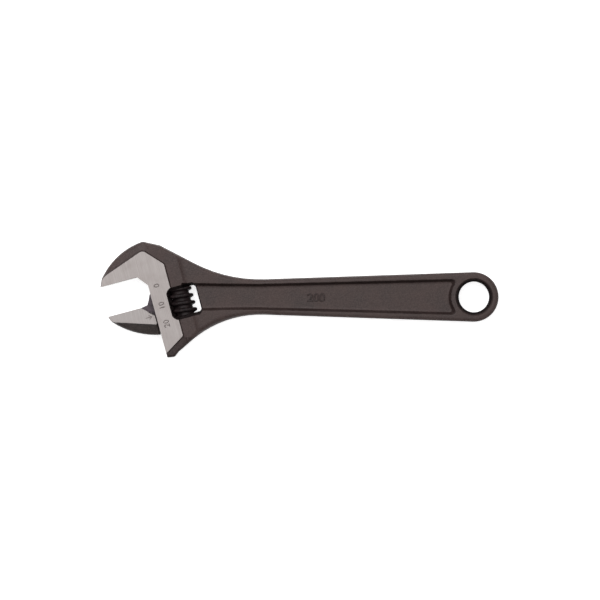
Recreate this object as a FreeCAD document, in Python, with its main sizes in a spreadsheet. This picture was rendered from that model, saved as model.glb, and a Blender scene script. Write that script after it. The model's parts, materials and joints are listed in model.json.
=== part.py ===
"""An adjustable wrench: forged frame, sliding jaw, worm, worm pin and worm spring.

Every piece is modelled in the head's own axes: x runs across the head towards the handle, y runs
from the sliding jaw towards the fixed jaw, and z is the thickness. The head's origin is where the
fixed jaw's contact plane meets the nose edge. Each piece's Placement then turns the head about z
and moves it, so that the wrench's origin is the centre of the hanging hole, halfway through the
handle's thickness, with +X away from the head and +Z out of the face.
"""
import math
import os

import FreeCAD
import Part
import Sketcher

SIZES = {
    # where the head sits on the handle
    "head_angle": 15.0,
    "nose_x": -171.4,
    "nose_y": 11.4,
    # thicknesses through the wrench
    "handle_thickness": 9.2,
    "shoulder_thickness": 11.5,
    "edge_thickness": 6.6,
    "head_thickness": 13.0,
    "panel_thickness": 4.4,
    # handle and eye
    "eye_radius": 13.0,
    "hole_radius": 8.0,
    "hole_chamfer": 1.8,
    "flare_top_radius": 75.0,
    "flare_bottom_radius": 55.0,
    "panel_end_radius": 12.0,
    "panel_draft": 30.0,
    # head
    "brow_radius": 33.0,
    "window_left": 8.6,
    "window_right": 23.7,
    "window_top": -11.4,
    "window_bottom": -25.5,
    "window_corner": 1.5,
    # slide, its bore and its slit
    "slide_x": 5.9,
    "slide_radius": 4.5,
    "bore_clearance": 0.1,
    "bore_top": 9.5,
    "web_thickness": 5.5,
    "slit_clearance": 0.1,
    "slide_top": -8.0,
    "slide_bottom": -31.5,
    # jaws
    "blade_thickness": 12.6,
    "blade_edge_thickness": 6.0,
    "jaw_back_radius": 42.0,
    # worm and rack
    "worm_x": 15.0,
    "worm_radius": 6.5,
    "worm_root_radius": 4.5,
    "worm_length": 13.7,
    "worm_centre": -18.45,
    "pitch": 3.8,
    "crest_width": 1.3,
    "ridge_width": 2.25,
    "worm_chamfer": 0.7,
    "groove_start": -29.5,
    "mesh_clearance": 0.16,
    "rack_root": 8.2,
    "rack_tip": 11.0,
    "rack_first": -10.5,
    "rack_gaps": 6,
    # pin and spring
    "pin_radius": 2.0,
    "pin_clearance": 0.06,
    "pin_head_radius": 2.9,
    "pin_head_clearance": 0.02,
    "pin_shoulder": -31.0,
    "pin_end": -36.6,
    "pin_tip": -5.0,
    "slot_width": 0.9,
    "slot_depth": 1.2,
    "pocket_radius": 3.3,
    "pocket_depth": 5.0,
    "spring_radius": 2.65,
    "wire_radius": 0.3,
    "spring_pitch": 1.1,
    "spring_start": -25.14,
    "spring_height": 4.4,
}

# outline corners in the head's axes, millimetres
HEAD_POINTS = {
    # outer edge of the head
    "tip": (-24.5, 0.0),
    "throat": (-4.5, 0.0),
    "nose": (0.0, -5.5),
    "toe": (0.0, -44.6),
    "chin": (3.5, -44.6),
    "lower_neck": (12.1, -40.3),
    "lower_back": (18.4, -37.3),
    "upper_back": (18.4, 6.3),
    "upper_neck": (11.7, 12.8),
    "crown": (3.6, 17.4),
    "brow": (-22.7, 4.1),
    # raised ground face, corner for corner with the outer edge
    "face_tip": (-24.3, 0.0),
    "face_throat": (-4.5, 0.0),
    "face_nose": (0.0, -5.5),
    "face_toe": (0.0, -41.7),
    "face_chin": (1.2, -41.4),
    "face_lower": (10.3, -36.0),
    "face_back_low": (10.8, -34.6),
    "face_back_high": (10.8, 2.0),
    "face_upper": (10.2, 3.8),
    "face_crown": (2.8, 12.0),
    "face_brow": (-22.7, 3.9),
    # shoulder behind the ground face
    "shoulder_crown": (3.4, 12.6),
    "shoulder_top": (10.9, 10.2),
    "shoulder_high": (18.4, 3.2),
    "shoulder_low": (18.4, -35.4),
    "shoulder_bottom": (11.9, -37.6),
    "shoulder_inner": (9.0, -30.0),
    # sliding jaw's blade, with the jaws 16 apart
    "jaw_tip": (-24.5, -16.0),
    "jaw_inner": (-6.8, -16.0),
    "jaw_notch": (-0.3, -21.6),
    "jaw_heel": (-0.3, -32.2),
    "jaw_back": (-23.2, -19.2),
    "flat_tip": (-24.3, -16.0),
    "flat_inner": (-6.8, -16.0),
    "flat_notch": (-0.3, -21.6),
    "flat_heel": (-0.3, -26.6),
    "flat_back": (-23.0, -19.0),
    # web, from the blade through the slit to the slide
    "web_inner": (-6.8, -16.0),
    "web_rise": (-3.1, -15.4),
    "web_curve": (-1.8, -13.1),
    "web_top": (-0.5, -10.2),
    "web_slide_top": (5.9, -9.0),
    "web_slide_bottom": (5.9, -31.5),
    "web_bottom": (-0.3, -31.5),
    "web_root": (-8.0, -20.0),
    # slit, which also takes the web's upper corner when the jaws close
    "slit_low": (5.9, -50.0),
    "slit_mouth": (-9.0, -50.0),
    "slit_lip": (-9.0, -0.2),
    "slit_rise": (-3.5, 1.0),
    "slit_curve": (-2.2, 3.3),
    "slit_top": (-0.9, 6.5),
    "slit_end": (5.9, 7.7),
}

# outline corners in the wrench's own axes, millimetres
HANDLE_POINTS = {
    "eye_tip": (12.8, 0.0),
    "rim_end_top": (-0.2, 13.0),
    "rim_neck_top": (-109.0, 9.305),
    "flare_start_top": (-146.15, 17.78),
    "flare_end_top": (-160.0, 24.9),
    "flare_end_bottom": (-151.5, -26.1),
    "flare_start_bottom": (-147.2, -22.49),
    "rim_neck_bottom": (-109.6, -9.285),
    "rim_end_bottom": (-0.2, -13.0),
    "panel_end_top": (-7.6, 9.3),
    "panel_mid_top": (-112.0, 6.4),
    "panel_neck_top": (-130.0, 7.2),
    "panel_window_top": (-147.5, 7.6),
    "panel_window_bottom": (-143.5, -7.6),
    "panel_neck_bottom": (-130.0, -6.9),
    "panel_mid_bottom": (-112.0, -6.4),
    "panel_end_bottom": (-7.6, -9.3),
}

NODES = ["frame", "sliding_jaw", "worm", "worm_pin", "worm_spring"]
TOLERANCE = 1e-6

doc = FreeCAD.newDocument("adjustable_wrench")


# ---------------------------------------------------------------- sheet and helpers
def make_sheet():
    """The driving dimensions, one named cell for each size and two for each outline corner."""
    sheet = doc.addObject("Spreadsheet::Sheet", "Sizes")
    cells = dict(SIZES)
    for name, (x, y) in {**HEAD_POINTS, **HANDLE_POINTS}.items():
        cells[name + "_across"] = x
        cells[name + "_along"] = y
    for row, (name, value) in enumerate(cells.items(), start=1):
        sheet.set(f"A{row}", name)
        sheet.set(f"B{row}", str(value))
        sheet.setAlias(f"B{row}", name)
    doc.recompute()
    return sheet


def size(name):
    """A driving dimension's value, with a leading minus turning its sign."""
    value = float(getattr(sheet, name.lstrip("-")))
    return -value if name.startswith("-") else value


def bind(thing, prop, formula):
    """Drive one property by a formula in which @ stands for the sheet."""
    thing.setExpression(prop, formula.replace("@", "Sizes."))


def new_body(label):
    """A body in the head's axes, placed on the wrench."""
    body = doc.addObject("PartDesign::Body", label)
    body.Label = label
    body.Placement = FreeCAD.Placement(
        FreeCAD.Vector(size("nose_x"), size("nose_y"), 0),
        FreeCAD.Rotation(FreeCAD.Vector(0, 0, 1), size("head_angle")),
    )
    bind(body, "Placement.Base.x", "@nose_x")
    bind(body, "Placement.Base.y", "@nose_y")
    bind(body, "Placement.Rotation.Angle", "@head_angle")
    return body


def new_sketch(body, name, plane, lift="0", shift=None, angle=None):
    """A sketch on one of the body's origin planes, lifted off it and shifted or turned in it."""
    sketch = body.newObject("Sketcher::SketchObject", name)
    for feature in body.Origin.OriginFeatures:
        if feature.Role == plane:
            sketch.AttachmentSupport = [(feature, "")]
    sketch.MapMode = "FlatFace"
    bind(sketch, "AttachmentOffset.Base.z", lift)
    if shift:
        bind(sketch, "AttachmentOffset.Base.x", shift[0])
        bind(sketch, "AttachmentOffset.Base.y", shift[1])
    if angle:
        sketch.AttachmentOffset = FreeCAD.Placement(
            sketch.AttachmentOffset.Base, FreeCAD.Rotation(FreeCAD.Vector(0, 0, 1), 1)
        )
        bind(sketch, "AttachmentOffset.Rotation.Angle", angle)
    return sketch


def fix_point(sketch, edge, end, x, y):
    """Hold an edge's end at the coordinates that two formulas give."""
    for kind, formula in (("DistanceX", x), ("DistanceY", y)):
        point = sketch.getPoint(edge, end)
        now = point.x if kind == "DistanceX" else point.y
        index = sketch.addConstraint(Sketcher.Constraint(kind, edge, end, now))
        bind(sketch, f"Constraints[{index}]", formula)


def arc_between(start, end, radius):
    """The shorter arc from start to end; a positive radius turns left and a negative one right."""
    chord = end - start
    half = chord.Length / 2
    rise = math.sqrt(max(radius * radius - half * half, 0.0))
    left = FreeCAD.Vector(-chord.y, chord.x, 0).normalize()
    centre = (start + end) / 2 + left * (rise if radius > 0 else -rise)
    first, last = (start, end) if radius > 0 else (end, start)
    begin = math.atan2(first.y - centre.y, first.x - centre.x)
    finish = math.atan2(last.y - centre.y, last.x - centre.x)
    circle = Part.Circle(centre, FreeCAD.Vector(0, 0, 1), abs(radius))
    return Part.ArcOfCircle(circle, begin, finish)


def draw_outline(sketch, steps):
    """A closed outline. Each step is (corner, radius of the arc that arrives there, or None)."""
    corners = [
        FreeCAD.Vector(size(name + "_across"), size(name + "_along"), 0) for name, _ in steps
    ]
    ends = []
    for index, (_, radius) in enumerate(steps):
        start, end = corners[index - 1], corners[index]
        if radius is None:
            edge = sketch.addGeometry(Part.LineSegment(start, end), False)
        else:
            edge = sketch.addGeometry(arc_between(start, end, size(radius)), False)
            held = sketch.addConstraint(Sketcher.Constraint("Radius", edge, abs(size(radius))))
            bind(sketch, f"Constraints[{held}]", "@" + radius.lstrip("-"))
        turned = radius is not None and radius.startswith("-")
        ends.append((edge, 2, 1) if turned else (edge, 1, 2))
    for index, (name, _) in enumerate(steps):
        edge, _, finish = ends[index]
        following, start, _ = ends[(index + 1) % len(ends)]
        sketch.addConstraint(Sketcher.Constraint("Coincident", edge, finish, following, start))
        fix_point(sketch, edge, finish, f"@{name}_across", f"@{name}_along")
    return sketch


def draw_circle(sketch, x, y, radius):
    """A circle whose centre and radius are formulas."""
    edge = sketch.addGeometry(
        Part.Circle(FreeCAD.Vector(0, 0, 0), FreeCAD.Vector(0, 0, 1), 1.0), False
    )
    fix_point(sketch, edge, 3, x, y)
    index = sketch.addConstraint(Sketcher.Constraint("Radius", edge, 1.0))
    bind(sketch, f"Constraints[{index}]", radius)
    return sketch


def draw_polygon(sketch, corners):
    """A closed polygon whose corners are pairs of formulas; it is laid out on a unit circle."""
    count = len(corners)
    turn = 2 * math.pi / count
    places = [
        FreeCAD.Vector(math.cos(turn * index), math.sin(turn * index), 0) for index in range(count)
    ]
    for index in range(count):
        line = Part.LineSegment(places[index - 1], places[index])
        sketch.addGeometry(line, False)
    for index, (x, y) in enumerate(corners):
        following = (index + 1) % count
        sketch.addConstraint(Sketcher.Constraint("Coincident", index, 2, following, 1))
        fix_point(sketch, index, 2, x, y)
    return sketch


def finish_feature(body, feature, grows=None):
    """Recompute a feature and see that it added or removed material as it should."""
    base = feature.BaseFeature
    if "Originals" in feature.PropertiesList:
        base = feature.Originals[0]
    before = base.Shape.Volume if base else 0.0
    body.Tip = feature
    doc.recompute()
    change = feature.Shape.Volume - before
    if grows is not None and (change > 0) != grows:
        raise RuntimeError(f"{feature.Name} changed the volume by {change:.3f}")
    return feature


def pad(body, name, sketch, length, symmetric=True, flip=False):
    feature = body.newObject("PartDesign::Pad", name)
    feature.Profile = sketch
    feature.SideType = "Symmetric" if symmetric else "One side"
    feature.Reversed = flip
    bind(feature, "Length", length)
    return finish_feature(body, feature, grows=True)


def pocket(body, name, sketch, length=None, symmetric=False, flip=False, draft=None):
    """A pocket of the given length, or through everything where no length is given."""
    feature = body.newObject("PartDesign::Pocket", name)
    feature.Profile = sketch
    feature.SideType = "Symmetric" if symmetric else "One side"
    feature.Reversed = flip
    if length:
        bind(feature, "Length", length)
    else:
        feature.Type = "ThroughAll"
    if draft:
        bind(feature, "TaperAngle", draft)
    return finish_feature(body, feature, grows=False)


def bevel_loft(body, name, lower, upper):
    """Material between the outer edge and the ground face, corner to corner."""
    feature = body.newObject("PartDesign::AdditiveLoft", name)
    feature.Profile = lower
    feature.Sections = [upper]
    feature.Ruled = True
    return finish_feature(body, feature, grows=True)


def mirror_through_thickness(body, name, feature, grows):
    mirrored = body.newObject("PartDesign::Mirrored", name)
    mirrored.Originals = [feature]
    for plane in body.Origin.OriginFeatures:
        if plane.Role == "XY_Plane":
            mirrored.MirrorPlane = (plane, [""])
    return finish_feature(body, mirrored, grows=grows)


# ---------------------------------------------------------------- frame
HANDLE_SHIFT = (
    "-(@nose_x * cos(@head_angle) + @nose_y * sin(@head_angle))",
    "@nose_x * sin(@head_angle) - @nose_y * cos(@head_angle)",
)
HANDLE_ANGLE = "-@head_angle"


def handle_sketch(body, name, lift="0"):
    """A sketch in the wrench's own axes."""
    return new_sketch(body, name, "XY_Plane", lift, HANDLE_SHIFT, HANDLE_ANGLE)


def add_handle(body):
    """Handle bar with its round eye and the flares that meet the head."""
    sketch = handle_sketch(body, "handle_outline")
    draw_outline(
        sketch,
        [
            ("eye_tip", "eye_radius"),
            ("rim_end_top", "eye_radius"),
            ("rim_neck_top", None),
            ("flare_start_top", "-flare_top_radius"),
            ("flare_end_top", None),
            ("flare_end_bottom", None),
            ("flare_start_bottom", None),
            ("rim_neck_bottom", "-flare_bottom_radius"),
            ("rim_end_bottom", None),
        ],
    )
    pad(body, "handle_bar", sketch, "@handle_thickness")


def add_head(body):
    """Head with a bevel all round its ground faces, and a thicker shoulder behind them."""
    outer = [
        ("throat", None),
        ("tip", None),
        ("brow", None),
        ("crown", "-brow_radius"),
        ("upper_neck", None),
        ("upper_back", None),
        ("lower_back", None),
        ("lower_neck", None),
        ("chin", None),
        ("toe", None),
        ("nose", None),
    ]
    face = [
        ("face_throat", None),
        ("face_tip", None),
        ("face_brow", None),
        ("face_crown", None),
        ("face_upper", None),
        ("face_back_high", None),
        ("face_back_low", None),
        ("face_lower", None),
        ("face_chin", None),
        ("face_toe", None),
        ("face_nose", None),
    ]
    block = draw_outline(new_sketch(body, "head_outline", "XY_Plane"), outer)
    pad(body, "head_block", block, "@edge_thickness")
    lower = new_sketch(body, "bevel_foot", "XY_Plane", "@edge_thickness / 2")
    upper = new_sketch(body, "ground_face", "XY_Plane", "@head_thickness / 2")
    draw_outline(lower, outer)
    draw_outline(upper, face)
    bevel = bevel_loft(body, "head_bevel", lower, upper)
    mirror_through_thickness(body, "head_bevel_back", bevel, grows=True)


def add_shoulder(body):
    """Plateau between the ground faces and the flares."""
    corners = ["crown", "top", "high", "low", "bottom", "inner"]
    sketch = new_sketch(body, "shoulder_outline", "XY_Plane")
    draw_outline(sketch, [("shoulder_" + corner, None) for corner in corners])
    pad(body, "shoulder", sketch, "@shoulder_thickness")


def edges_where(shape, wanted):
    """Names of a shape's edges whose every sampled point passes the test."""
    names = []
    for index, edge in enumerate(shape.Edges, start=1):
        if all(wanted(point) for point in edge.discretize(5)):
            names.append(f"Edge{index}")
    return names


def dress_up(body, name, kind, base, edges, prop, formula):
    """A fillet or a chamfer along the named edges of a feature."""
    feature = body.newObject(kind, name)
    feature.Base = (base, edges)
    bind(feature, prop, formula)
    return finish_feature(body, feature)


def add_window(body):
    """Window for the worm, right through the head, with rounded corners."""
    sketch = new_sketch(body, "window_outline", "XY_Plane")
    draw_polygon(
        sketch,
        [
            ("@window_left", "@window_bottom"),
            ("@window_right", "@window_bottom"),
            ("@window_right", "@window_top"),
            ("@window_left", "@window_top"),
        ],
    )
    window = pocket(body, "window", sketch, "@head_thickness * 2", symmetric=True)
    sides = (size("window_left"), size("window_right"))
    ends = (size("window_top"), size("window_bottom"))

    def at_corner(point):
        across = min(abs(point.x - side) for side in sides)
        along = min(abs(point.y - end) for end in ends)
        return across < TOLERANCE and along < TOLERANCE

    corners = edges_where(window.Shape, at_corner)
    dress_up(
        body, "window_corners", "PartDesign::Fillet", window, corners, "Radius", "@window_corner"
    )


def add_panels(body):
    """Sunken panel on both faces of the handle, from the window to the eye."""
    sketch = handle_sketch(body, "panel_outline", "@handle_thickness / 2")
    draw_outline(
        sketch,
        [
            ("panel_end_top", "-panel_end_radius"),
            ("panel_mid_top", None),
            ("panel_neck_top", None),
            ("panel_window_top", None),
            ("panel_window_bottom", None),
            ("panel_neck_bottom", None),
            ("panel_mid_bottom", None),
            ("panel_end_bottom", None),
        ],
    )
    depth = "(@handle_thickness - @panel_thickness) / 2"
    panel = pocket(body, "panel", sketch, depth, draft="-@panel_draft")
    mirror_through_thickness(body, "panel_back", panel, grows=False)


def add_hanging_hole(body):
    """Hole through the eye, chamfered on both faces."""
    sketch = handle_sketch(body, "hole_outline")
    draw_circle(sketch, "0", "0", "@hole_radius")
    hole = pocket(body, "hanging_hole", sketch, "@handle_thickness * 2", symmetric=True)
    eye = handle_point(0.0, 0.0)
    half = size("handle_thickness") / 2

    def on_rim(point):
        radius = math.hypot(point.x - eye.x, point.y - eye.y)
        return abs(radius - size("hole_radius")) < 1e-3 and abs(abs(point.z) - half) < TOLERANCE

    rims = edges_where(hole.Shape, on_rim)
    dress_up(body, "hole_chamfers", "PartDesign::Chamfer", hole, rims, "Size", "@hole_chamfer")


def handle_point(x, y):
    """A point of the wrench's own axes in the head's axes."""
    turn = FreeCAD.Rotation(FreeCAD.Vector(0, 0, 1), -size("head_angle"))
    return turn.multVec(FreeCAD.Vector(x - size("nose_x"), y - size("nose_y"), 0))


def add_slideway(body):
    """Blind round bore for the slide and the slit that its web runs in."""
    sketch = new_sketch(body, "bore_outline", "XZ_Plane", "-@bore_top")
    draw_circle(sketch, "@slide_x", "0", "@slide_radius + @bore_clearance")
    pocket(body, "slide_bore", sketch, flip=True)
    corners = ["low", "end", "top", "curve", "rise", "lip", "mouth"]
    slit = new_sketch(body, "slit_outline", "XY_Plane")
    draw_outline(slit, [("slit_" + corner, None) for corner in corners])
    pocket(body, "slit", slit, "@web_thickness + 2 * @slit_clearance", symmetric=True)


def add_pin_holes(body):
    """Blind hole for the worm pin and the wider hole for its screwed end."""
    blind = new_sketch(body, "pin_hole_outline", "XZ_Plane", "-@pin_tip")
    draw_circle(blind, "@worm_x", "0", "@pin_radius + @pin_head_clearance")
    pocket(body, "pin_hole", blind, flip=True)
    wide = new_sketch(body, "pin_thread_outline", "XZ_Plane", "-@pin_shoulder")
    draw_circle(wide, "@worm_x", "0", "@pin_head_radius + @pin_head_clearance")
    pocket(body, "pin_thread", wide, flip=True)


def make_frame():
    """Forged handle and fixed jaw in one piece."""
    body = new_body("frame")
    add_handle(body)
    add_head(body)
    add_shoulder(body)
    add_window(body)
    add_panels(body)
    add_hanging_hole(body)
    add_slideway(body)
    add_pin_holes(body)


# ---------------------------------------------------------------- sliding jaw
def add_blade(body):
    """Blade with bevelled edges round its ground faces."""
    outer = [
        ("jaw_inner", None),
        ("jaw_notch", None),
        ("jaw_heel", None),
        ("jaw_back", "-jaw_back_radius"),
        ("jaw_tip", None),
    ]
    face = [("flat_" + name.split("_")[1], None) for name, _ in outer]
    block = draw_outline(new_sketch(body, "blade_outline", "XY_Plane"), outer)
    pad(body, "blade", block, "@blade_edge_thickness")
    lower = new_sketch(body, "blade_bevel_foot", "XY_Plane", "@blade_edge_thickness / 2")
    upper = new_sketch(body, "blade_ground_face", "XY_Plane", "@blade_thickness / 2")
    draw_outline(lower, outer)
    draw_outline(upper, face)
    bevel = bevel_loft(body, "blade_bevel", lower, upper)
    mirror_through_thickness(body, "blade_bevel_back", bevel, grows=True)


def add_slide(body):
    """Web and round slide behind the blade."""
    corners = ["inner", "rise", "curve", "top", "slide_top", "slide_bottom", "bottom", "root"]
    web = new_sketch(body, "web_outline", "XY_Plane")
    draw_outline(web, [("web_" + corner, None) for corner in corners])
    pad(body, "web", web, "@web_thickness")
    slide = new_sketch(body, "slide_outline", "XZ_Plane", "-@slide_top")
    draw_circle(slide, "@slide_x", "0", "@slide_radius")
    pad(body, "slide", slide, "@slide_top - @slide_bottom", symmetric=False)


def add_rack(body):
    """Slanted gaps for the worm's ridges, one pitch apart."""
    outline = new_sketch(body, "rack_gap_outline", "XY_Plane")
    slope = "(@ridge_width - @crest_width) / (@worm_radius - @worm_root_radius) / 2"
    width = f"(@ridge_width / 2 + @mesh_clearance - ({{0}} - @worm_root_radius) * {slope})"
    root = width.format("(@worm_x - @rack_root)")
    tip = width.format("(@worm_x - @rack_tip)")
    draw_polygon(
        outline,
        [
            ("@rack_root", f"@rack_first - {root}"),
            ("@rack_tip", f"@rack_first - {tip}"),
            ("@rack_tip", f"@rack_first + {tip}"),
            ("@rack_root", f"@rack_first + {root}"),
        ],
    )
    gap = body.newObject("PartDesign::Pocket", "rack_gap")
    gap.Profile = outline
    gap.SideType = "Symmetric"
    gap.UseCustomVector = True
    gap.Direction = FreeCAD.Vector(0, 0, 1)
    bind(gap, "Direction.y", "-@pitch / (pi * (@worm_radius + @worm_root_radius))")
    bind(gap, "Length", "@slide_radius * 4")
    finish_feature(body, gap, grows=False)
    rack = body.newObject("PartDesign::LinearPattern", "rack")
    rack.Originals = [gap]
    rack.Direction = (outline, ["V_Axis"])
    rack.Reversed = True
    rack.Mode = "Spacing"
    bind(rack, "Offset", "@pitch")
    bind(rack, "Occurrences", "@rack_gaps")
    finish_feature(body, rack, grows=False)


def make_sliding_jaw():
    """Movable jaw with its web, slide and rack."""
    body = new_body("sliding_jaw")
    add_blade(body)
    add_slide(body)
    add_rack(body)


# ---------------------------------------------------------------- worm, pin and spring
def round_sketch(body, name, level, radius):
    """A circle about the worm's axis at a level along the head."""
    sketch = new_sketch(body, name, "XZ_Plane", f"-({level})")
    return draw_circle(sketch, "@worm_x", "0", radius)


def make_worm():
    """Left-hand thumb screw, bored for its pin and counterbored for its spring."""
    body = new_body("worm")
    top = "@worm_centre + @worm_length / 2"
    bottom = "@worm_centre - @worm_length / 2"
    core = round_sketch(body, "worm_outline", top, "@worm_radius")
    blank = pad(body, "blank", core, "@worm_length", symmetric=False)
    rims = edges_where(blank.Shape, lambda point: True)
    rims = [name for name in rims if len(blank.Shape.getElement(name).Vertexes) == 1]
    dress_up(body, "end_chamfers", "PartDesign::Chamfer", blank, rims, "Size", "@worm_chamfer")
    profile = new_sketch(body, "groove_profile", "XY_Plane", "0", ("@worm_x", "0"))
    slope = "(@ridge_width - @crest_width) / (@worm_radius - @worm_root_radius) / 2"
    root = "(@pitch - @ridge_width) / 2"
    over = "@worm_chamfer"
    mouth = f"((@pitch - @crest_width) / 2 + {over} * {slope})"
    start = "@groove_start"
    draw_polygon(
        profile,
        [
            ("@worm_root_radius", f"{start} - {root}"),
            (f"@worm_radius + {over}", f"{start} - {mouth}"),
            (f"@worm_radius + {over}", f"{start} + {mouth}"),
            ("@worm_root_radius", f"{start} + {root}"),
        ],
    )
    thread = body.newObject("PartDesign::SubtractiveHelix", "thread")
    thread.Profile = profile
    thread.ReferenceAxis = (profile, ["V_Axis"])
    thread.Mode = "pitch-height-angle"
    thread.LeftHanded = True
    bind(thread, "Pitch", "@pitch")
    bind(thread, "Height", "@worm_length + 2 * @pitch")
    finish_feature(body, thread, grows=False)
    bore = round_sketch(body, "bore_outline", top, "@pin_radius + @pin_clearance")
    pocket(body, "bore", bore, flip=True)
    seat = round_sketch(body, "spring_seat_outline", bottom, "@pocket_radius")
    pocket(body, "spring_seat", seat, "@pocket_depth")


def make_worm_pin():
    """Pin with a slotted, screwed end that seats on the step in the head."""
    body = new_body("worm_pin")
    head = round_sketch(body, "head_outline", "@pin_end", "@pin_head_radius")
    pad(body, "screwed_end", head, "@pin_shoulder - @pin_end", symmetric=False, flip=True)
    shank = round_sketch(body, "shank_outline", "@pin_shoulder", "@pin_radius")
    pad(body, "shank", shank, "@pin_tip - @pin_shoulder", symmetric=False, flip=True)
    slot = new_sketch(body, "slot_outline", "XZ_Plane", "-@pin_end")
    draw_polygon(
        slot,
        [
            ("@worm_x - @pin_head_radius * 2", "-@slot_width / 2"),
            ("@worm_x + @pin_head_radius * 2", "-@slot_width / 2"),
            ("@worm_x + @pin_head_radius * 2", "@slot_width / 2"),
            ("@worm_x - @pin_head_radius * 2", "@slot_width / 2"),
        ],
    )
    pocket(body, "slot", slot, "@slot_depth")


def make_worm_spring():
    """Compression spring between the worm's counterbore and the window's lower wall."""
    body = new_body("worm_spring")
    profile = new_sketch(body, "wire_profile", "XY_Plane", "0", ("@worm_x", "0"))
    draw_circle(profile, "@spring_radius", "@spring_start", "@wire_radius")
    coil = body.newObject("PartDesign::AdditiveHelix", "coil")
    coil.Profile = profile
    coil.ReferenceAxis = (profile, ["V_Axis"])
    coil.Mode = "pitch-height-angle"
    bind(coil, "Pitch", "@spring_pitch")
    bind(coil, "Height", "@spring_height")
    finish_feature(body, coil)


# ---------------------------------------------------------------- build, check and write
sheet = make_sheet()
make_frame()
make_sliding_jaw()
make_worm()
make_worm_pin()
make_worm_spring()
doc.recompute()

for thing in doc.Objects:
    if "Invalid" in thing.State or "Error" in thing.State:
        raise RuntimeError(f"{thing.Name} did not recompute: {thing.State}")

os.makedirs("parts", exist_ok=True)
for node in NODES:
    shape = doc.getObjectsByLabel(node)[0].Shape
    if shape.isNull() or not shape.isValid() or len(shape.Solids) != 1:
        raise RuntimeError(f"{node} is not one valid solid")
    shape.exportStep(f"parts/{node}.step")
    print(node, round(shape.Volume, 1), shape.BoundBox)
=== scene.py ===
"""Looks of the adjustable wrench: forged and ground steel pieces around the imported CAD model.

The forged pieces are described as solid fields in millimetres (negative inside) and turned into
meshes by dual contouring, which keeps both the soft forged rounds and the crisp machined edges.
In the code x and y are the row's axes, and w and v are the head's own: w runs across the head, v
along it from the sliding jaw towards the fixed jaw. z is the thickness, nought at mid-thickness.
"""

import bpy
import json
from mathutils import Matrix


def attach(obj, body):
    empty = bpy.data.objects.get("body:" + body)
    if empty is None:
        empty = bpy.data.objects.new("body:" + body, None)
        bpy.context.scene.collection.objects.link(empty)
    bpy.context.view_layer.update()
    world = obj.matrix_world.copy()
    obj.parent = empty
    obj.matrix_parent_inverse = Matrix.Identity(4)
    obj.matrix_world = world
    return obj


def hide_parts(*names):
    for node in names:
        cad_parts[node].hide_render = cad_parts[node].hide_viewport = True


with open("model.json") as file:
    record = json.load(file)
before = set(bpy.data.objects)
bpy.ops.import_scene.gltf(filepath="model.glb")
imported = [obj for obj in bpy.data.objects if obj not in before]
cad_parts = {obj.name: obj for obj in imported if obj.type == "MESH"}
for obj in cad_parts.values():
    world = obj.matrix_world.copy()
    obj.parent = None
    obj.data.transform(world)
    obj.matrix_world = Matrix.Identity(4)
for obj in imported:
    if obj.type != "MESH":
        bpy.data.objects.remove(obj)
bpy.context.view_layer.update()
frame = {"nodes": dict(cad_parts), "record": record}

import json
import math

import bpy
import numpy as np
from mathutils import Matrix, Vector

MM = 0.001
JOINTS = {joint["name"]: joint for joint in frame["record"]["behaviour"]["joints"]}

# ---------------------------------------------------------------- head axes, from the joints
OPENING_WAY = np.array(JOINTS["jaw_slide"]["axis"][:2])
ALONG = -OPENING_WAY / np.linalg.norm(OPENING_WAY)
ACROSS = np.array([ALONG[1], -ALONG[0]])
WORM_X, WORM_Y = 15.0, -18.45           # the worm's centre in the head's axes
WORM_CENTRE = np.array(JOINTS["worm_spin"]["pos_m"][:2]) / MM
NOSE = WORM_CENTRE - WORM_X * ACROSS - WORM_Y * ALONG
PITCH = 2 * math.pi / abs(frame["record"]["behaviour"]["couplings"][0]["ratio"]) / MM

# ---------------------------------------------------------------- sizes, millimetres
# Names ending in _Z are half thicknesses; the other places are in the head's axes.
FACE_Z, FACE_SLOPE = 6.5, 1.15      # ground faces of the head, and the wall round them
BAND_Z, THIN_Z = 5.8, 2.5           # forged band round the ground faces, and its thinnest place
SHOULDER_Z = 5.75                   # plateau between the ground faces and the flares
SHOULDER_EDGE, SHOULDER_FALL = 18.2, 3.6    # where the plateau ends, and its fall to the rims
RIM_Z, RIM_RISE = 4.6, 0.2          # handle rims, and how much thicker they are near the head
PANEL_Z = 2.2                       # sunken panels of the handle
HOLE_R, HOLE_CHAMFER = 8.0, 2.6     # hanging eye
BORE_X, BORE_R, BORE_TOP = 5.9, 4.6, 9.5    # bore of the jaw's slide
WEB_Z, SLIT_Z = 2.75, 2.85
WINDOW_X, WINDOW_Y = (8.6, 23.7), (-25.5, -11.4)
WINDOW_R = 1.6                      # its corners
WINDOW_EDGE, WINDOW_END_EDGE = 0.85, 2.3
PIN_R, PIN_TOP = 2.06, -5.0         # hole for the worm's pin
PIN_END_R, PIN_SHOULDER = 2.92, -31.0       # hole for the pin's screwed end
JAW_FACE_Y, JAW_FACE_Z = -16.0, 6.3
JAW_BAND_Z = 5.85                   # forged back of the blade next to its ground face
SLIDE_R, SLIDE_TOP, SLIDE_BOTTOM = 4.5, -8.0, -31.5
RACK_Y, RACK_SLANT = -21.9, 0.11    # middle of the rack's gap number nought, and its lean
RACK_ROOT, RACK_TIP = 8.2, 11.0     # places across the head
GAP_ROOT, GAP_TIP = 0.74, 1.41      # half widths of the rack's gaps there
WORM_R, WORM_ROOT_R, WORM_LENGTH = 6.5, 4.59, 14.04
CREST, RIDGE = 1.3, 2.25            # widths of the thread's ridge at the top and the root
GROOVE_Y = -20.95                   # middle of the thread's groove at the front
KNURLS, KNURL_DEPTH = 52, 0.05
COUNTERBORE_R, COUNTERBORE_DEPTH = 3.3, 5.0


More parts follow.
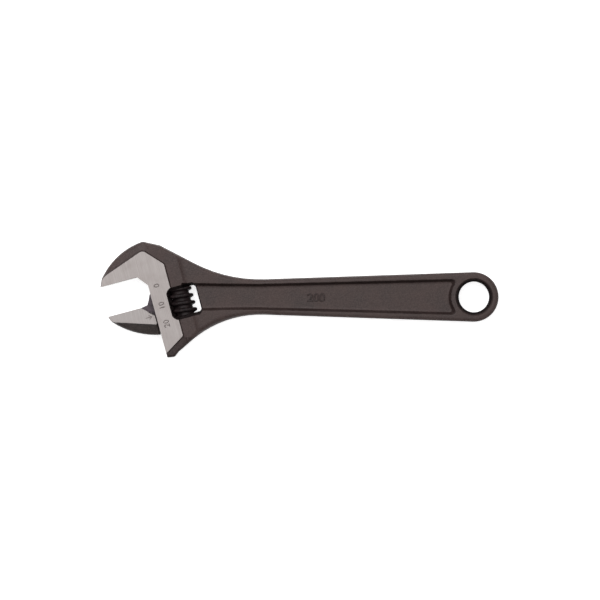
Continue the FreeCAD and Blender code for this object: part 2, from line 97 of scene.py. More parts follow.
# ---------------------------------------------------------------- fields
def to_head(x, y):
    """Row coordinates in the head's axes."""
    dx, dy = x - NOSE[0], y - NOSE[1]
    return dx * ACROSS[0] + dy * ACROSS[1], dx * ALONG[0] + dy * ALONG[1]


def to_row(x, y):
    """Head coordinates in the row's axes."""
    return tuple(NOSE + x * ACROSS + y * ALONG)


def rounded_path(corners):
    """Points round a closed outline whose corners are (x, y, radius of the corner's arc)."""
    points = []
    for index, (x, y, radius) in enumerate(corners):
        here = np.array([x, y], float)
        before = np.array(corners[index - 1][:2], float) - here
        after = np.array(corners[(index + 1) % len(corners)][:2], float) - here
        before /= np.linalg.norm(before)
        after /= np.linalg.norm(after)
        half = math.acos(np.clip(before @ after, -1, 1)) / 2
        if radius <= 0 or half > math.pi / 2 - 1e-3:
            points.append(here)
            continue
        reach = radius / math.tan(half)
        centre = here + (before + after) / np.linalg.norm(before + after) * radius / math.sin(half)
        start, end = here + before * reach - centre, here + after * reach - centre
        first = math.atan2(start[1], start[0])
        turn = (math.atan2(end[1], end[0]) - first + math.pi) % (2 * math.pi) - math.pi
        steps = max(2, int(abs(turn) / math.radians(4)))
        for step in range(steps + 1):
            angle = first + turn * step / steps
            points.append(centre + radius * np.array([math.cos(angle), math.sin(angle)]))
    return np.array(points)


def distance(path, x, y):
    """Signed distance to a closed outline, negative inside."""
    x, y = np.broadcast_arrays(x, y)
    nearest = np.full(x.shape, np.inf)
    inside = np.zeros(x.shape, bool)
    for start, end in zip(np.roll(path, 1, axis=0), path):
        ex, ey = end - start
        px, py = x - start[0], y - start[1]
        t = np.clip((px * ex + py * ey) / (ex * ex + ey * ey), 0, 1)
        nearest = np.minimum(nearest, (px - t * ex) ** 2 + (py - t * ey) ** 2)
        crosses = (start[1] > y) != (end[1] > y)
        left = px < ex * py / (ey if ey else 1e-12)
        inside ^= crosses & left
    nearest = np.sqrt(nearest)
    return np.where(inside, -nearest, nearest)


def smoothstep(low, high, value):
    """Nought at low, one at high, with an even start and end."""
    t = np.clip((value - low) / (high - low), 0, 1)
    return t * t * (3 - 2 * t)


def mix(a, b, share):
    """A value that goes from a to b as share goes from nought to one."""
    return a + (b - a) * share


def both(a, b, radius=0.0):
    """Where two fields overlap, with the outer edge between them rounded."""
    if not np.any(radius):
        return np.maximum(a, b)
    outside = np.hypot(np.maximum(a + radius, 0), np.maximum(b + radius, 0))
    return np.minimum(np.maximum(a, b), -radius) + outside


def without(a, b, radius=0.0):
    """The first field with the second cut away."""
    return both(a, -b, radius)


def broken(a, b, width):
    """Where two fields overlap, with a flat of that width on the edge between them."""
    return np.maximum(np.maximum(a, b), (a + b) / math.sqrt(2) + width / 2)


# ---------------------------------------------------------------- dual contouring
ROUNDS = 4              # steps that close in on each crossing
STEP = 0.01             # reach of the slope's differences
STEADY = 0.04           # pull of each vertex towards the middle of its crossings
OFF_ROUND = 0.0137      # shift of the grids, so that no plane of them lies on a flat face


def contour(field, axes):
    """Vertices and quads of a field's zero surface on a grid with the given axes.

    Each cell that the surface passes gets the point that fits its crossings' tangent planes best,
    so flat cuts meet in sharp edges.
    """
    grid = np.meshgrid(*axes, indexing="ij", sparse=True)
    values = np.broadcast_to(field(*grid), [len(axis) for axis in axes])
    solid = values < 0
    cells = [len(axis) - 1 for axis in axes]
    crossings = []
    for direction in range(3):
        low = [slice(None)] * 3
        high = [slice(None)] * 3
        low[direction], high[direction] = slice(0, -1), slice(1, None)
        spots = np.argwhere(solid[tuple(low)] != solid[tuple(high)])
        inner = np.ones(len(spots), bool)
        for side in range(3):
            if side != direction:
                inner &= (spots[:, side] > 0) & (spots[:, side] < cells[side])
        crossings.append(spots[inner])
    ends, starts, ways = [], [], []
    for direction, spots in enumerate(crossings):
        start = np.stack([axes[side][spots[:, side]] for side in range(3)], 1)
        end = start.copy()
        end[:, direction] = axes[direction][spots[:, direction] + 1]
        starts.append(start)
        ends.append(end)
        ways.append(solid[tuple(spots.T)])
    start, end = np.concatenate(starts), np.concatenate(ends)
    outward = np.concatenate(ways)
    low_value = field(*start.T)
    high_value = field(*end.T)
    for _ in range(ROUNDS):
        # the straight line's guess, kept off the ends so that both sides close in
        share = (low_value / (low_value - high_value))[:, None].clip(0.02, 0.98)
        middle = start + (end - start) * share
        value = field(*middle.T)
        same = (value < 0) == (low_value < 0)
        start = np.where(same[:, None], middle, start)
        low_value = np.where(same, value, low_value)
        end = np.where(same[:, None], end, middle)
        high_value = np.where(same, high_value, value)
    share = (low_value / (low_value - high_value))[:, None].clip(0, 1)
    point = start + (end - start) * share
    slope = np.empty_like(point)
    for side in range(3):
        ahead, behind = point.copy(), point.copy()
        ahead[:, side] += STEP
        behind[:, side] -= STEP
        slope[:, side] = field(*ahead.T) - field(*behind.T)
    slope /= np.maximum(np.linalg.norm(slope, axis=1), 1e-12)[:, None]

    quads, users = [], []
    first = 0
    for direction, spots in enumerate(crossings):
        a, b = [side for side in range(3) if side != direction]
        corners = []
        for da, db in ((0, 0), (1, 0), (1, 1), (0, 1)):
            cell = spots.copy()
            cell[:, a] -= da
            cell[:, b] -= db
            corners.append(np.ravel_multi_index(tuple(cell.T), cells))
        corners = np.stack(corners, 1)
        flip = outward[first:first + len(spots)]
        if direction == 1:
            flip = ~flip
        quads.append(np.where(flip[:, None], corners, corners[:, ::-1]))
        users.append(corners)
        first += len(spots)
    quads, users = np.concatenate(quads), np.concatenate(users)
    used, flat = np.unique(users.ravel(), return_inverse=True)
    owner = np.repeat(np.arange(len(point)), 4)
    count = np.bincount(flat, minlength=len(used)).astype(float)
    centre = np.stack([np.bincount(flat, point[owner, side]) for side in range(3)], 1)
    centre /= count[:, None]
    offset = np.einsum("ij,ij->i", slope[owner], point[owner] - centre[flat])
    normal = slope[owner]
    matrix = np.zeros((len(used), 3, 3))
    vector = np.zeros((len(used), 3))
    for i in range(3):
        vector[:, i] = np.bincount(flat, normal[:, i] * offset)
        for j in range(3):
            matrix[:, i, j] = np.bincount(flat, normal[:, i] * normal[:, j])
    matrix += np.eye(3) * STEADY
    vertex = centre + np.linalg.solve(matrix, vector[:, :, None])[:, :, 0]
    index = np.stack(np.unravel_index(used, cells), 1)
    for side in range(3):
        low_edge = axes[side][index[:, side]]
        high_edge = axes[side][index[:, side] + 1]
        vertex[:, side] = np.clip(vertex[:, side], low_edge, high_edge)
    return vertex, np.searchsorted(used, quads)


def spans(*pieces):
    """A grid axis of stretches (start, end, spacing), shifted off round numbers."""
    stops = []
    for start, end, spacing in pieces:
        stops.append(np.linspace(start, end, int(round((end - start) / spacing)), endpoint=False))
    stops.append([pieces[-1][1]])
    return np.concatenate(stops) + OFF_ROUND


SHARP = math.radians(35)


def mesh_object(name, vertices, quads, materials, kinds):
    """A mesh piece from vertices in millimetres; kinds gives each face its material."""
    mesh = bpy.data.meshes.new(name)
    mesh.vertices.add(len(vertices))
    mesh.vertices.foreach_set("co", (vertices * MM).ravel())
    mesh.loops.add(quads.size)
    mesh.loops.foreach_set("vertex_index", quads.ravel().astype(np.int32))
    mesh.polygons.add(len(quads))
    mesh.polygons.foreach_set("loop_start", np.arange(0, quads.size, 4, dtype=np.int32))
    mesh.polygons.foreach_set("loop_total", np.full(len(quads), 4, dtype=np.int32))
    for material in materials:
        mesh.materials.append(material)
    mesh.polygons.foreach_set("material_index", kinds.astype(np.int32))
    mesh.update(calc_edges=True)
    mesh.validate()
    mesh.shade_smooth()
    mesh.set_sharp_from_angle(angle=SHARP)
    piece = bpy.data.objects.new(name, mesh)
    bpy.context.scene.collection.objects.link(piece)
    return piece


def to_row_vertices(vertices):
    """Vertices made in the head's axes, in the row's axes."""
    placed = vertices.copy()
    placed[:, :2] = NOSE + vertices[:, :1] * ACROSS + vertices[:, 1:2] * ALONG
    return placed


def head_corner(x, y, radius=0.0):
    """A corner given in the head's axes, as a corner of an outline in the row's axes."""
    return (*to_row(x, y), radius)


# ---------------------------------------------------------------- outlines, millimetres
# The forging from above, in the row's axes: mouth, toe, lower flare, hanging eye, upper flare,
# back of the head and nose.
OUTLINE = rounded_path([
    head_corner(-25.8, -3), head_corner(-6, -3), head_corner(-3, -9), head_corner(-3, -44.1),
    (-156.2, -31.35, 1.5), (-153.9, -28.5, 2), (-130.97, -8.56, 55),
    (12.8, -13.44, 12.95), (12.8, 13.44, 12.95), (-128.7, 8.64, 75),
    (-163.9, 27.0, 3), (-173, 29.0, 2.5), (-187.0, 23.9, 36.5), head_corner(-22.7, 4.1, 1.5),
])
# The sunken panel, in the row's axes. A circle round the hanging eye ends it.
PANEL = rounded_path([
    (4, 9.1, 0), (-112, 6.1, 30), (-130, 6.3, 30), (-152, 6.7, 0),
    (-152, -6.9, 0), (-130, -6.2, 30), (-112, -6.1, 30), (4, -9.1, 0),
])
PANEL_END_R, PANEL_CORNER_R = 12.6, 2.8
# From here on in the head's axes: ground face, mouth, worm's window and the web's slit.
GROUND = rounded_path([
    (-27, 2.5, 0), (1.84, 12.71, 3), (10.8, 3.0, 1.2), (10.8, -35.6, 1), (-1, -42.9, 0),
    (-6, -42.9, 0), (-6, -3, 0), (-27, -3, 0),
])
MOUTH = rounded_path([(-30, 0, 0), (-4.5, 0, 0), (0, -5.5, 0), (0, -50, 0), (-30, -50, 0)])
WINDOW = rounded_path([
    (WINDOW_X[0], WINDOW_Y[0], WINDOW_R), (WINDOW_X[1], WINDOW_Y[0], WINDOW_R),
    (WINDOW_X[1], WINDOW_Y[1], WINDOW_R), (WINDOW_X[0], WINDOW_Y[1], WINDOW_R),
])
SLIT = rounded_path([
    (BORE_X, -50, 0), (-9, -50, 0), (-9, -0.2, 0), (-3.5, 1.0, 0), (-2.2, 3.3, 0),
    (-0.9, 6.5, 0), (BORE_X, 7.7, 0),
])
# The sliding jaw's blade and web, and the line on the blade where its ground face ends.
BLADE = rounded_path([
    (-24.5, JAW_FACE_Y, 0.5), (-6.8, JAW_FACE_Y, 0), (-0.3, -21.6, 0), (-0.3, -32.2, 0.5),
    (-13.87, -29.54, 42), (-23.2, -19.3, 1),
])
BORDER = ((-23.2, -19.2), (-0.3, -26.6))
WEB = rounded_path([
    (-6.8, JAW_FACE_Y, 0), (-3.1, -15.4, 0.8), (-1.8, -13.1, 1.5), (-0.5, -10.2, 1.2),
    (BORE_X, -9.0, 0), (BORE_X, SLIDE_BOTTOM, 0), (-0.3, SLIDE_BOTTOM, 0), (-8, -20, 0),
])


# ---------------------------------------------------------------- frame
def panel_distance(x, y):
    """Signed distance to the sunken panel's outline, negative inside."""
    return both(distance(PANEL, x, y), PANEL_END_R - np.hypot(x, y), PANEL_CORNER_R)


def frame_height(x, y, w, v):
    """Half thickness of the forging, before machining."""
    ground = distance(GROUND, w, v)
    rim = mix(RIM_Z + RIM_RISE, RIM_Z, smoothstep(-150, -105, x))
    fall = (1 - np.clip((w - SHOULDER_EDGE) / SHOULDER_FALL, 0, 1)) ** 2.5
    plateau = mix(rim, SHOULDER_Z, fall)
    # The band round the ground faces falls away most at the nose and hardly at all on the toe.
    toe = 1 - smoothstep(-37.5, -34.5, v)
    behind = smoothstep(9.5, 12.5, w)
    share = mix(smoothstep(-2, 6, w), behind, toe)
    slope = mix(mix(0.42, 0.14, smoothstep(-4, 6, w)), 0.02, toe * (1 - behind))
    band = BAND_Z - slope * np.maximum(ground, 0)
    height = np.maximum(band, mix(THIN_Z, plateau, share))
    height = np.maximum(height, FACE_Z - FACE_SLOPE * ground)
    # The panel's wall is steep, with a low foot outside it.
    panel = panel_distance(x, y)
    foot = 0.16 * np.clip((panel + 1.8) / 1.4, 0, 1) ** 2
    return mix(PANEL_Z, height, foot + (1 - foot) * smoothstep(-0.8, 0.8, panel))


def window_edge(w, v):
    """Width of the flat on the window's edge, wider at the worm's ends."""
    middle, half = sum(WINDOW_Y) / 2, (WINDOW_Y[1] - WINDOW_Y[0]) / 2
    at_end = smoothstep(half - 1.2, half - 0.2, np.abs(v - middle))
    left, right = WINDOW_X
    between = smoothstep(left - 0.4, left + 2.6, w) * smoothstep(right + 0.7, right - 1.7, w)
    return mix(WINDOW_EDGE, WINDOW_END_EDGE, at_end * between)


def on_toe(w, v):
    """Whether a point is on the toe, below the ground face."""
    return (v < -36.2 - 0.35 * (w - 11)) & (w < 18)


def frame_field(x, y, z):
    """The forging, rounded along its edges, with everything that is cut into it."""
    w, v = to_head(x, y)
    deep = np.abs(z)
    # The edges are rounder on the handle, and roundest under the lower flare.
    under = smoothstep(-152, -146, x) * (1 - smoothstep(-135, -120, x)) * smoothstep(0, -6, y)
    edge = mix(1.3, 1.9, smoothstep(-150, -130, x)) + under
    draft = mix(0.1, 0.02, 1 - smoothstep(-38, -36, v))
    side = distance(OUTLINE, x, y) + draft * deep
    solid = both(side, deep - frame_height(x, y, w, v), edge)
    solid = np.maximum(solid, deep - FACE_Z)
    solid = without(solid, distance(MOUTH, w, v))
    solid = broken(solid, -distance(WINDOW, w, v), window_edge(w, v))
    solid = broken(solid, HOLE_R - np.hypot(x, y), HOLE_CHAMFER)
    bore = np.maximum(np.hypot(w - BORE_X, z) - BORE_R, v - BORE_TOP)
    slit = np.maximum(distance(SLIT, w, v), deep - SLIT_Z)
    pin = np.maximum(np.hypot(w - WORM_X, z) - PIN_R, v - PIN_TOP)
    screw = np.maximum(np.hypot(w - WORM_X, z) - PIN_END_R, v - PIN_SHOULDER)
    for hollow in (bore, slit, pin, screw):
        solid = without(solid, hollow, 0.3)
    return solid


# ---------------------------------------------------------------- sliding jaw
def jaw_height(w, v):
    """Half thickness of the blade: flat where it is ground, falling away behind the border."""
    (x0, y0), (x1, y1) = BORDER
    length = math.hypot(x1 - x0, y1 - y0)
    behind = ((w - x0) * (y1 - y0) - (v - y0) * (x1 - x0)) / length
    return np.maximum(JAW_FACE_Z - behind, JAW_BAND_Z - 0.42 * behind)


def jaw_field(w, v, z):
    """Blade, web and round slide, with the rack's slanted gaps cut into the slide."""
    deep = np.abs(z)
    blade = distance(BLADE, w, v)
    blade = both(blade + 0.06 * deep * smoothstep(-18, -20, v), deep - jaw_height(w, v), 0.8)
    blade = np.maximum(blade, deep - JAW_FACE_Z)
    web = both(distance(WEB, w, v), deep - WEB_Z, 0.5)
    slide = both(
        np.hypot(w - BORE_X, z) - SLIDE_R,
        np.maximum(v - SLIDE_TOP, SLIDE_BOTTOM - v),
        0.4,
    )
    solid = np.minimum(np.minimum(blade, web), slide)
    for number in range(-2, 4):
        middle = RACK_Y + PITCH * number - RACK_SLANT * z
        half = GAP_ROOT + (w - RACK_ROOT) * (GAP_TIP - GAP_ROOT) / (RACK_TIP - RACK_ROOT)
        gap = both((np.abs(v - middle) - half) * 0.97, RACK_ROOT - w)
        solid = without(solid, gap, 0.15)
    return solid


# ---------------------------------------------------------------- worm
def worm_field(w, v, z):
    """Knurled screw with one left-hand groove, bored for its pin and for the spring."""
    across = w - WORM_X
    radius = np.hypot(across, z)
    turn = np.arctan2(across, z)
    phase = (v + PITCH * turn / (2 * math.pi) - GROOVE_Y) / PITCH
    from_groove = np.abs(phase - np.round(phase)) * PITCH
    half = (PITCH - CREST) / 2 - (WORM_R - radius) * (RIDGE - CREST) / 2 / (WORM_R - WORM_ROOT_R)
    groove = both((from_groove - half) * 0.9, WORM_ROOT_R - radius, 0.5)
    grip = KNURL_DEPTH * (1 - np.cos(turn * KNURLS))
    blank = radius - WORM_R + grip * smoothstep(5.2, 6.2, radius)
    top = WORM_Y + WORM_LENGTH / 2
    bottom = WORM_Y - WORM_LENGTH / 2
    solid = without(blank, groove, 0.45)
    solid = broken(solid, np.maximum(v - top, bottom - v), 0.12)
    solid = without(solid, radius - PIN_R)
    return without(solid, np.maximum(radius - COUNTERBORE_R, v - bottom - COUNTERBORE_DEPTH))


# ---------------------------------------------------------------- materials
class Look:
    """A node material with a short way of adding and joining its nodes."""

    def __init__(self, name):
        self.material = bpy.data.materials.new(name)
        self.material.use_nodes = True
        self.tree = self.material.node_tree
        self.shader = self.tree.nodes["Principled BSDF"]
        self.where = self.tree.nodes.new("ShaderNodeTexCoord").outputs["Object"]

    def put(self, socket, value):
        """Set a socket to a value, or link another node's output to it."""
        if isinstance(value, bpy.types.NodeSocket):
            self.tree.links.new(value, socket)
        else:
            socket.default_value = value

    def node(self, kind, inputs=(), **settings):
        """A node whose inputs are values or other nodes' outputs, by name or number."""
        made = self.tree.nodes.new("ShaderNode" + kind)
        for key, value in settings.items():
            setattr(made, key, value)
        for key, value in dict(inputs).items():
            self.put(made.inputs[key], value)
        return made

    def stretched(self, scale, turn=0.0):
        """Object coordinates turned about z and stretched."""
        turned = self.node("Mapping", {"Vector": self.where, "Rotation": (0, 0, turn)})
        return self.node("Mapping", {"Vector": turned.outputs[0], "Scale": scale}).outputs[0]

    def noise(self, scale, detail=4.0, where=None, rough=0.55):
        """Noise; without coordinates of its own, its scale is in features to the metre."""
        inputs = {"Vector": where or self.where, "Scale": scale, "Detail": detail, "Roughness": rough}
        return self.node("TexNoise", inputs).outputs["Fac"]

    def spread(self, value, low, high, start=0.3, end=0.7):
        """A value between start and end turned into one between low and high."""
        inputs = {0: value, 1: start, 2: end, 3: low, 4: high}
        return self.node("MapRange", inputs).outputs[0]

    def blend(self, share, first, second):
        """A colour between two colours."""
        return self.node("Mix", {0: share, 6: first, 7: second}, data_type="RGBA").outputs[2]

    def bump(self, height, strength, depth, normal=None):
        """The surface's normal with relief of that depth in metres."""
        inputs = {"Height": height, "Strength": strength, "Distance": depth}
        if normal:
            inputs["Normal"] = normal
        return self.node("Bump", inputs).outputs[0]

    def finish(self, color, roughness, metallic, normal, specular):
        """The material, with its shader set."""
        for key, value in (("Base Color", color), ("Roughness", roughness), ("Metallic", metallic),
                           ("Normal", normal), ("Specular IOR Level", specular)):
            self.put(self.shader.inputs[key], value)
        return self.material


def linear(red, green, blue, gain=1.0):
    """A linear colour from 8-bit screen values, times a gain."""
    return (*(gain * (value / 255) ** 2.2 for value in (red, green, blue)), 1.0)


HEAD_TURN = -math.atan2(ACROSS[1], ACROSS[0])


def forged_steel(name, dark, light):
    """Blasted and phosphated forging: fine pits, soft dents and cloudy tone."""
    look = Look(name)
    cloud = look.noise(90, 5)
    speck = look.noise(1500, 4)
    tone = look.blend(look.spread(cloud, 0, 1), dark, light)
    tone = look.blend(look.spread(speck, 0.0, 0.35, 0.35, 0.75), tone, linear(96, 82, 79))
    grain = look.bump(speck, 0.5, 0.00012)
    skin = look.bump(look.noise(420, 3), 0.4, 0.00025, grain)
    rough = look.spread(cloud, 0.5, 0.66)
    return look.finish(tone, rough, 0.0, skin, 0.3)


def ground_steel(name, base, lines, gain=1.0):
    """Ground face with fine parallel lines; lines is the stretch in the head's own axes."""
    look = Look(name)
    where = look.stretched(lines, HEAD_TURN)
    fine = look.noise(1.0, 3, where, 0.7)
    broad = look.noise(0.22, 2, where)
    patch = look.noise(160, 3)
    tone = look.blend(look.spread(fine, 0, 1, 0.25, 0.75), base, linear(172, 165, 163, gain))
    tone = look.blend(look.spread(broad, 0.0, 0.35), tone, linear(128, 120, 117, gain))
    tone = look.blend(look.spread(patch, 0.0, 0.22, 0.45, 0.75), tone, linear(120, 108, 104, gain))
    return look.finish(
        tone, look.spread(fine, 0.42, 0.58), 0.35, look.bump(fine, 0.25, 0.00003), 0.4
    )


def dark_steel(name, dark, light, rough, scale, gloss=0.35):
    """Blackened or oily machined steel with soft wear; also near-black machined walls as painted
    shade.
    """
    look = Look(name)
    wear = look.noise(scale, 4)
    fine = look.noise(scale * 9, 3)
    tone = look.blend(look.spread(wear, 0, 1, 0.35, 0.75), dark, light)
    return look.finish(
        tone, look.spread(fine, rough, rough + 0.18), 0.1, look.bump(fine, 0.3, 0.00003), gloss
    )


FORGED = forged_steel("forged_steel", linear(48, 38, 37), linear(66, 54, 52))
# A darker copy of the forged steel: painted shade for the toe, the band round the ground faces, the
# ring round the eye, the panel's walls and the raised size number.
FORGED_SHADE = forged_steel("forged_painted_shade_steel", linear(30, 20, 20), linear(45, 34, 33))
JAW_FORGED = forged_steel("jaw_forged_steel", linear(40, 37, 36), linear(56, 52, 51))
GROUND_FACE = ground_steel("ground_head_steel", linear(150, 143, 141), (9000, 260, 9000))
GROUND_BLADE = ground_steel("ground_jaw_steel", linear(148, 144, 143), (9000, 260, 9000))
# A darker copy of the ground steel, at 0.6 gain: painted shade on the contact faces, which are seen
# edge on.
CONTACT = ground_steel("ground_contact_steel", linear(120, 112, 110), (700, 9000, 9000), 0.6)
# Near black: painted shade on the walls of the window, bore and slit, the eye's chamfer and the jaw's
# slide and rack.
SHADED_CUT = dark_steel("machined_wall_painted_shade_steel", linear(26, 21, 21), linear(42, 36, 36), 0.6, 300, 0.12)
WEB_STEEL = dark_steel("web_steel", linear(40, 31, 36), linear(84, 72, 80), 0.32, 260)
BLACKENED = dark_steel("blackened_steel", linear(24, 18, 19), linear(46, 37, 38), 0.46, 500, 0.25)
PIN_STEEL = dark_steel("turned_steel", linear(110, 106, 104), linear(150, 146, 143), 0.3, 700)
MARK = dark_steel("engraved_steel", linear(96, 88, 86), linear(124, 115, 113), 0.5, 400)
WIRE = dark_steel("spring_wire", linear(120, 118, 116), linear(168, 166, 164), 0.28, 900)


# ---------------------------------------------------------------- pieces
def near(field, limit=0.03):
    """Whether a field is within a limit of nought."""
    return np.abs(field) < limit


def frame_kind(centre):
    """0 forged, 1 ground, 2 contact face with painted shade, 3 machined wall in painted shade, 4
    forged steel with painted shade.
    """
    x, y, z = centre.T
    w, v = to_head(x, y)
    radius = np.hypot(x, y)
    below_face = np.abs(z) < FACE_Z - 0.1
    kind = np.zeros(len(centre), int)
    # Painted shade: kind 4, the darker forged steel, goes on the band round the ground faces, the
    # toe, a ring round the hanging eye and the panel's walls.
    kind[near(distance(GROUND, w, v) - 0.3, 0.35) | on_toe(w, v)] = 4
    kind[radius < HOLE_R + 1.8] = 4
    # Painted shade: kind 3, the near-black wall steel, goes on the eye's chamfer.
    kind[radius < HOLE_R + 1.2] = 3
    kind[near(panel_distance(x, y), 0.7) & below_face] = 4
    kind[near(np.abs(z) - FACE_Z)] = 1
    kind[near(distance(MOUTH, w, v)) & below_face] = 2
    # Painted shade: kind 3 also goes on the walls of the bore, the slit and the window.
    inside = (np.hypot(w - BORE_X, z) < BORE_R + 0.05) & (v < BORE_TOP + 0.1)
    inside |= (distance(SLIT, w, v) < 0.05) & (np.abs(z) < SLIT_Z + 0.05)
    below = np.abs(z) < frame_height(x, y, w, v) - 0.06
    inside |= (distance(WINDOW, w, v) < window_edge(w, v) / math.sqrt(2) - 0.05) & below
    kind[inside] = 3
    return kind


def jaw_kind(centre):
    """0 forged, 1 ground, 2 contact face with painted shade, 3 web, 4 slide and rack in painted
    shade.
    """
    w, v, z = centre.T
    kind = np.zeros(len(centre), int)
    kind[near(np.abs(z) - JAW_FACE_Z, 0.04)] = 1
    blade = distance(BLADE, w, v)
    contact = near(v - JAW_FACE_Y, 0.1) | ((w > -7) & (v > -21.7))
    kind[near(blade) & contact] = 2
    kind[blade > 0.05] = 3
    # Painted shade: the slide and rack inside the bore are made near black.
    kind[w > 0.5] = 4
    return kind


def wrench_piece(name, node, vertices, quads, materials, kinds):
    """A finished mesh that rides on a body and stands in for its CAD node."""
    piece = mesh_object(name, vertices, quads, materials, kinds)
    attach(piece, node)
    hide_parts(node)
    return piece


points, quads = contour(frame_field, [
    spans((-195.6, -139.6, 0.28), (-139.6, -14, 0.7), (-14, 13.3, 0.33)),
    spans((-32.2, 29.7, 0.3)),
    spans((-6.7, 6.7, 0.29)),
])
points[:, 2] = points[:, 2].clip(-FACE_Z, FACE_Z)       # the ground faces, exactly
frame_piece = wrench_piece(
    "forged_frame", "frame", points, quads,
    [FORGED, GROUND_FACE, CONTACT, SHADED_CUT, FORGED_SHADE], frame_kind(points[quads].mean(1)),
)

points, quads = contour(jaw_field, [
    spans((-25.3, 11.2, 0.3)), spans((-33.0, -7.3, 0.3)), spans((-6.6, 6.6, 0.3)),
])
jaw_piece = wrench_piece(
    "forged_sliding_jaw", "sliding_jaw", to_row_vertices(points), quads,
    [JAW_FORGED, GROUND_BLADE, CONTACT, WEB_STEEL, SHADED_CUT], jaw_kind(points[quads].mean(1)),
)

points, quads = contour(worm_field, [
    spans((8.2, 21.8, 0.18)), spans((-26.2, -10.7, 0.18)), spans((-6.8, 6.8, 0.18)),
])
wrench_piece(
    "ridged_worm", "worm", to_row_vertices(points), quads,
    [BLACKENED], np.zeros(len(quads), int),
)


# ---------------------------------------------------------------- engraved and raised marks
CAPITALS = 0.7          # height of the font's digits as a share of its size
THICK = 0.5             # half thickness of a digit or bar that cuts or is raised
CUT_DEPTH = 0.15
SCALE_X, SCALE_Y, SCALE_STEP, SCALE_HEIGHT = 4.4, -5.9, 9.7, 2.9
ARROW_X, ARROW_Y = -2.9, -21.9
ARROW = ((-2.6, 0, 0.6, 0), (0.6, 0, -0.7, 1.0), (0.6, 0, -0.7, -1.0))     # bars x0, y0, x1, y1
SIZE_X, SIZE_Y, SIZE_HEIGHT = -82.4, -0.5, 4.3


def number_mesh(text, height, align="RIGHT", bevel=0.0):
    """A number as a thick mesh lying in the xy plane, aligned on the origin."""
    curve = bpy.data.curves.new("number", "FONT")
    curve.body = text
    curve.size = height / CAPITALS
    curve.extrude = THICK
    curve.align_x = align
    curve.bevel_depth = bevel
    curve.align_y = "CENTER"
    holder = bpy.data.objects.new("number", curve)
    bpy.context.scene.collection.objects.link(holder)
    bpy.context.view_layer.update()
    made = bpy.data.meshes.new_from_object(holder)
    bpy.data.objects.remove(holder)
    return made


def mark(piece, cutters, material, operation="DIFFERENCE"):
    """Cut or raise thick meshes, given as (mesh, matrix in millimetres), on a piece."""
    piece.data.materials.append(material)
    for made, place in cutters:
        made.transform(Matrix.Scale(MM, 4) @ place)
        made.materials.clear()
        for _ in piece.data.materials:
            made.materials.append(material)
        made.polygons.foreach_set(
            "material_index", [len(piece.data.materials) - 1] * len(made.polygons)
        )
        tool = bpy.data.objects.new("tool", made)
        bpy.context.scene.collection.objects.link(tool)
        cut = piece.modifiers.new("cut", "BOOLEAN")
        cut.operation = operation
        cut.object = tool
        cut.solver = "EXACT"
        bpy.context.view_layer.update()
        result = bpy.data.meshes.new_from_object(
            piece.evaluated_get(bpy.context.evaluated_depsgraph_get())
        )
        piece.modifiers.clear()
        piece.data = result
        bpy.data.objects.remove(tool)


def head_matrix(x, y, z, turn):
    """A place in the head's axes, turned about z by some degrees there, as a matrix."""
    spot = Matrix.Translation((*to_row(x, y), z))
    return spot @ Matrix.Rotation(math.radians(turn) - HEAD_TURN, 4, "Z")


def bar_mesh(x0, y0, x1, y1, width=0.35):
    """A thick bar from one point to another, lying in the xy plane."""
    way = Vector((x1 - x0, y1 - y0)).normalized() * width / 2
    left = Vector((-way.y, way.x))
    start, end = Vector((x0, y0)) - way, Vector((x1, y1)) + way
    corners = []
    for level in (-THICK, THICK):
        for spot in (start - left, end - left, end + left, start + left):
            corners.append((spot.x, spot.y, level))
    faces = [(3, 2, 1, 0), (4, 5, 6, 7)]
    for side in range(4):
        after = (side + 1) % 4
        faces.append((side, after, 4 + after, 4 + side))
    made = bpy.data.meshes.new("bar")
    made.from_pydata(corners, [], faces)
    return made


scale_marks = []
for number in range(3):
    place = head_matrix(SCALE_X, SCALE_Y - SCALE_STEP * number, FACE_Z + THICK - CUT_DEPTH, 90)
    scale_marks.append((number_mesh(str(number * 10), SCALE_HEIGHT), place))
mark(frame_piece, scale_marks, MARK)

arrow_place = head_matrix(ARROW_X, ARROW_Y, JAW_FACE_Z + THICK - CUT_DEPTH, 0)
for bar in ARROW:
    mark(jaw_piece, [(bar_mesh(*bar), arrow_place)], MARK)

size_place = Matrix.Translation((SIZE_X, SIZE_Y, PANEL_Z - 0.2))
size_mesh = number_mesh("200", SIZE_HEIGHT, "CENTER", 0.12)
# The raised size number takes the darker forged steel, painted shade that makes its strokes read
# dark.
mark(frame_piece, [(size_mesh, size_place)], FORGED_SHADE, "UNION")

for node, material in (("worm_pin", PIN_STEEL), ("worm_spring", WIRE)):
    for part_slot in frame["nodes"][node].material_slots:
        part_slot.link = "OBJECT"
        part_slot.material = material


# ---------------------------------------------------------------- floor, lights and camera
VIEW_CENTRE = (-0.0908, -0.0016, 0)     # metres, as are the places and sizes below
VIEW_WIDTH, VIEW_HEIGHT = 0.3133, 2.2


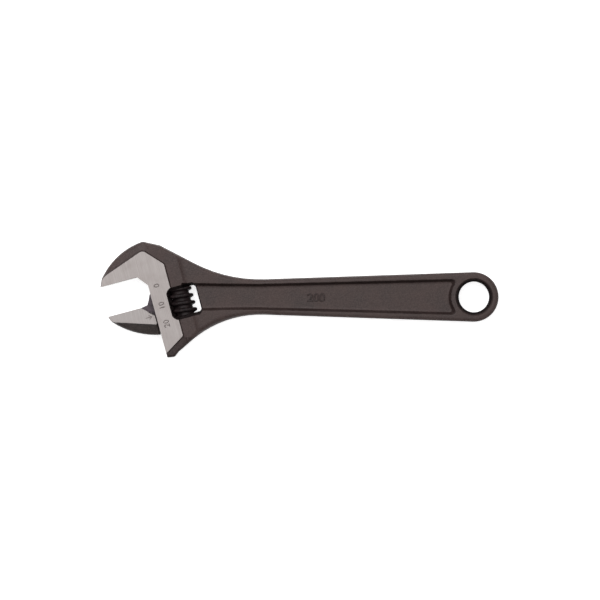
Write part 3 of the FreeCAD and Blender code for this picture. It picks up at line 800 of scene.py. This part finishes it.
def floor():
    """A white floor with some light of its own, so the wrench leaves almost no shadow on it."""
    look = Look("floor_white")
    tone = look.blend(look.noise(6), (0.86, 0.86, 0.86, 1), (0.88, 0.88, 0.88, 1))
    white = look.finish(tone, 0.9, 0.0, look.bump(look.noise(900), 0.02, 0.0001), 0.0)
    look.shader.inputs["Emission Color"].default_value = (1, 1, 1, 1)
    look.shader.inputs["Emission Strength"].default_value = 0.7
    bpy.ops.mesh.primitive_plane_add(size=6, location=(-0.09, 0, -FACE_Z * MM))
    plane = bpy.context.object
    plane.name = "floor"
    plane.data.materials.append(white)


def area_light(name, place, aim, size, power):
    """A rectangular light turned towards a point, its power in watts."""
    lamp = bpy.data.lights.new(name, "AREA")
    lamp.shape = "RECTANGLE"
    lamp.size, lamp.size_y = size
    lamp.energy = power
    holder = bpy.data.objects.new(name, lamp)
    holder.location = place
    holder.rotation_euler = (Vector(aim) - Vector(place)).to_track_quat("-Z", "Y").to_euler()
    bpy.context.scene.collection.objects.link(holder)


def studio():
    """White light that is strong overhead and weak from the sides and below."""
    world = bpy.data.worlds.new("studio")
    bpy.context.scene.world = world
    world.use_nodes = True
    tree = world.node_tree
    way = tree.nodes.new("ShaderNodeTexCoord")
    split = tree.nodes.new("ShaderNodeSeparateXYZ")
    sky = tree.nodes.new("ShaderNodeMapRange")
    for index, value in enumerate((0.7, 1.0, 0.06, 1.9), 1):     # from, to; darkest, brightest
        sky.inputs[index].default_value = value
    tree.links.new(way.outputs["Generated"], split.inputs[0])
    tree.links.new(split.outputs[2], sky.inputs[0])
    tree.links.new(sky.outputs[0], tree.nodes["Background"].inputs["Strength"])
    tree.nodes["Background"].inputs["Color"].default_value = (1, 1, 1, 1)


def camera_above():
    """A camera that looks straight down, with the photograph's framing."""
    scene = bpy.context.scene
    camera = bpy.data.cameras.new("camera")
    camera.lens = camera.sensor_width * VIEW_HEIGHT / VIEW_WIDTH
    camera.clip_end = 20
    holder = bpy.data.objects.new("camera", camera)
    holder.location = (*VIEW_CENTRE[:2], VIEW_HEIGHT)
    scene.collection.objects.link(holder)
    scene.camera = holder
    scene.view_settings.view_transform = "Standard"


floor()
studio()
area_light("top_light", (-0.4, 0.6, 0.9), VIEW_CENTRE, (0.9, 0.6), 9)
camera_above()
